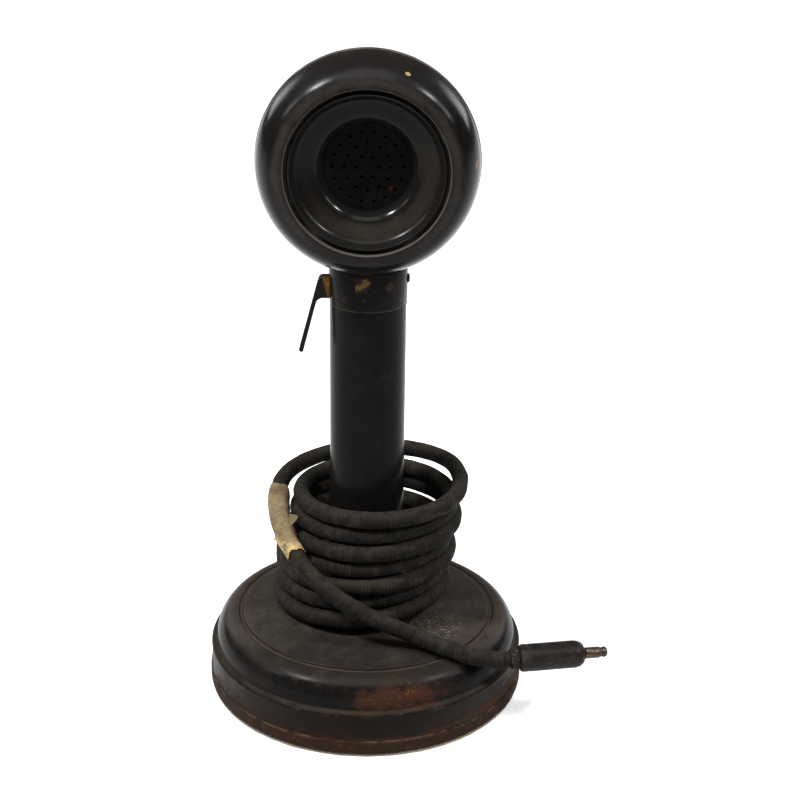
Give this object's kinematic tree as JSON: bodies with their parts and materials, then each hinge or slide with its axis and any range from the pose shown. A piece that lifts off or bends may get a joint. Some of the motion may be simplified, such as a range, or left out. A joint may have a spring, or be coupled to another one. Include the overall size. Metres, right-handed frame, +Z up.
{
  "type": "desk-stand telephone transmitter",
  "caption": "Candlestick desk-stand telephone with a tilting transmitter head, a squeeze-to-talk lever, a weighted round base and a plug on a long cloth cord.",
  "frame": {"origin": "centre of the foot's underside, on the surface it stands on", "axes": "+Z up along the stem, the mouthpiece faces -Y, the talk lever is on the -X side"},
  "size_m": [0.1854, 0.191, 0.304],
  "materials": {
    "felt": "worn felt",
    "pan_enamel": "black enamel worn to rusty brown",
    "iron": "raw casting",
    "japan": "glossy black japan, dusty and scratched",
    "fibre": "pressed black fibre",
    "brass": "dull tarnished brass",
    "steel": "nickelled steel, dulled",
    "lever_brass": "black paint worn through to brass",
    "moulding": "black hard rubber, polished",
    "insulation": "red-brown fibre",
    "spring_metal": "nickel silver strip",
    "diaphragm_metal": "thin sheet",
    "gasket_rubber": "soft red rubber",
    "lead_green": "cotton covered wire",
    "lead_tan": "cotton covered wire",
    "braid": "braided cotton, dusty black",
    "tape": "aged cloth tape",
    "thread": "waxed thread whipping",
    "shell_plastic": "black plug shell",
    "worn_brass": "brown tarnished brass"
  },
  "bodies": {
    "stand": {"felt_pad": "felt", "base_pan": "pan_enamel", "pan_screws": "steel", "ballast_ring": "iron", "base_shell": "japan", "cord_bushing": "fibre", "bushing_nut": "brass", "cord_clamp": "brass", "clamp_screws": "brass", "terminal_block": "fibre", "terminal_screws": "brass", "base_leads": "lead_tan", "stem_leads": "lead_green", "stem_tube": "japan", "stem_foot": "japan", "stem_washer": "steel", "stem_nut": "brass", "stem_cap": "japan", "cap_screws": "worn_brass", "contact_frame": "steel", "lever_pin": "steel", "pile_insulators": "insulation", "pile_plate": "steel", "pile_screws": "steel", "fixed_blade": "spring_metal", "blade_root": "spring_metal", "tilt_screw": "steel", "tilt_nut": "japan", "cord_lead": "braid", "cord_coil": "braid", "cord_tail": "braid", "tape_label": "tape", "cord_whipping": "thread", "plug_shell": "shell_plastic", "plug_sleeve": "worn_brass", "plug_insulator": "fibre", "plug_tip": "worn_brass"},
    "head": {"face_dome": "japan", "mouthpiece": "moulding", "speech_plate": "moulding", "diaphragm_gasket": "gasket_rubber", "diaphragm": "diaphragm_metal", "bridge": "brass", "bridge_screws": "steel", "carbon_button": "brass", "button_lead": "lead_green", "back_cup": "japan", "cup_screws": "steel", "head_lug": "japan", "lug_screws": "steel"},
    "lever": {"talk_lever": "lever_brass", "lever_stud": "insulation"},
    "contact_spring": {"moving_blade": "spring_metal"}
  },
  "joints": [
    {"name": "head_tilt", "type": "hinge", "parent": "stand", "child": "head", "pos_m": [0, 0.008, 0.214], "axis": [-1, 0, 0], "range_deg": [0, 28]},
    {"name": "talk_lever_squeeze", "type": "hinge", "parent": "stand", "child": "lever", "pos_m": [-0.008, 0, 0.196], "axis": [0, -1, 0], "range_deg": [0, 12], "stiffness_Nm_per_rad": 0.3, "springref_deg": -8.59},
    {"name": "contact_flex", "type": "hinge", "parent": "stand", "child": "contact_spring", "pos_m": [-0.0044, 0, 0.163], "axis": [0, 1, 0], "range_deg": [0, 10]}
  ],
  "couplings": [
    {"joint": "contact_flex", "follows": "talk_lever_squeeze", "ratio": 0.8}
  ]
}
